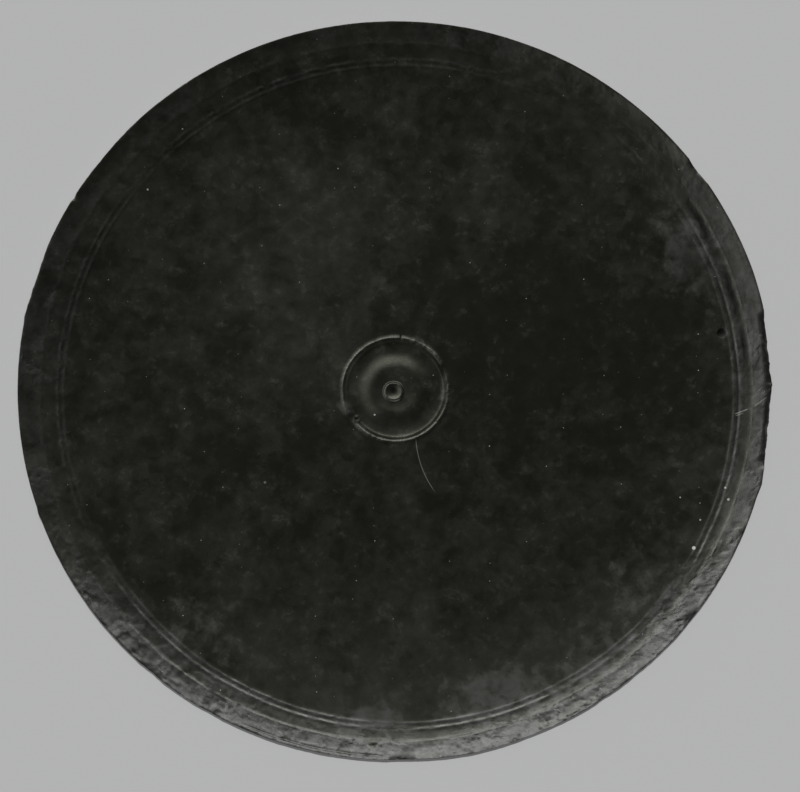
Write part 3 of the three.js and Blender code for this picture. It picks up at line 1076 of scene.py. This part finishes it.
def makePatina():  # one metal whose colour, roughness, metalness and relief come from the functions above
    material = bpy.data.materials.new("dark patina on bronze")
    material.use_nodes = True
    tree = material.node_tree
    shader = tree.nodes["Principled BSDF"]
    look = startLook(tree)
    look.film = filmOf(tree, look)
    look.dust = dustOf(tree, look)
    feed(tree, shader.inputs["Base Color"], patinaColour(tree, look))
    feed(tree, shader.inputs["Roughness"], roughnessOf(tree, look))
    feed(tree, shader.inputs["Metallic"], metalOf(tree, look))
    relief = addNode(tree, "Bump", {"Strength": 1.0, "Distance": mm, "Height": reliefOf(tree, look)})
    feed(tree, shader.inputs["Normal"], relief.outputs[0])
    return material


mesh.materials.append(makePatina())
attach(mirror, "root")
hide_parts("mirror_disc")
print("finish: done")


# Floor, light and camera: turns and rises in degrees, sizes and distances in metres

studio = {
    "floor": (0.70, 0.705, 0.705),
    "floorHalf": 6.0,
    "floorRoughness": 0.95,
    "floorLight": 1.86,
    "floorLightSpread": 5,
    "panels": {
        "key": dict(power=28.6, turn=101.0, rise=43.0, size=(2.4, 0.5)),
        "fill": dict(power=11.0, turn=184.0, rise=40.0, size=(1.5, 1.5)),
        "front": dict(power=7.0, turn=279.0, rise=14.0, size=(1.8, 0.3)),
    },
    "panelsAway": 1.5,
    "world": 0.055,
    "cameraTurn": -90.0,
    "cameraRise": 78.8,
    "cameraAway": 1.6,
    "lens": 301.8,
    "aim": (1.155 * mm, -1.70 * mm, 3 * mm),
    "farthest": 50,
}


def aimAt(thing, turn, rise, away, target):  # places a light or camera on a sphere round a point, facing it
    a, e = math.radians(turn), math.radians(rise)
    outward = (math.cos(a) * math.cos(e), math.sin(a) * math.cos(e), math.sin(e))
    thing.location = [p + away * o for p, o in zip(target, outward)]
    thing.rotation_euler = (math.radians(90 - rise), 0, math.radians(turn + 90))


def lightOnly(light, target):  # a light that falls on one thing only
    group = bpy.data.collections.new(light.name + "_on")
    group.objects.link(target)
    light.light_linking.receiver_collection = group


def addFloor():  # one flat square, much wider than the view
    half = studio["floorHalf"]
    plane = bpy.data.meshes.new("floor")
    corners = [(-half, -half, 0), (half, -half, 0), (half, half, 0), (-half, half, 0)]
    plane.from_pydata(corners, [], [(0, 1, 2, 3)])
    material = bpy.data.materials.new("pale floor")
    material.use_nodes = True
    shader = material.node_tree.nodes["Principled BSDF"]
    shader.inputs["Base Color"].default_value = (*studio["floor"], 1)
    shader.inputs["Roughness"].default_value = studio["floorRoughness"]
    shader.inputs["Specular IOR Level"].default_value = 0.0
    plane.materials.append(material)
    floor = addToScene("floor", plane)
    return floor


def addPanel(name, item):  # a soft rectangular light from one side, on the mirror alone
    panel = bpy.data.lights.new(name, "AREA")
    panel.shape = "RECTANGLE"
    panel.size, panel.size_y = item["size"]
    panel.energy = item["power"]
    lamp = addToScene(name, panel)
    aimAt(lamp, item["turn"], item["rise"], studio["panelsAway"], (0, 0, 0))
    lightOnly(lamp, mirror)


def addOverhead(floor):  # a soft sun from beside the camera, on the floor alone
    sun = bpy.data.lights.new("overhead", "SUN")
    sun.energy = studio["floorLight"]
    sun.angle = math.radians(studio["floorLightSpread"])
    overhead = addToScene("overhead", sun)
    aimAt(overhead, studio["cameraTurn"], studio["cameraRise"], 1.0, (0, 0, 0))
    lightOnly(overhead, floor)


def addWorld():  # a faint, even white all round
    world = bpy.data.worlds.new("studio")
    world.use_nodes = True
    background = world.node_tree.nodes["Background"]
    background.inputs["Color"].default_value = (1, 1, 1, 1)
    background.inputs["Strength"].default_value = studio["world"]
    bpy.context.scene.world = world


def addCamera():  # a long lens that looks steeply down
    lens = bpy.data.cameras.new("camera")
    lens.lens = studio["lens"]
    lens.clip_end = studio["farthest"]
    camera = addToScene("camera", lens)
    aimAt(camera, studio["cameraTurn"], studio["cameraRise"], studio["cameraAway"], studio["aim"])
    bpy.context.scene.camera = camera


addOverhead(addFloor())
for panelName, panelItem in studio["panels"].items():
    addPanel(panelName, panelItem)
addWorld()
addCamera()
bpy.context.scene.view_settings.view_transform = "Standard"
print("studio: done")
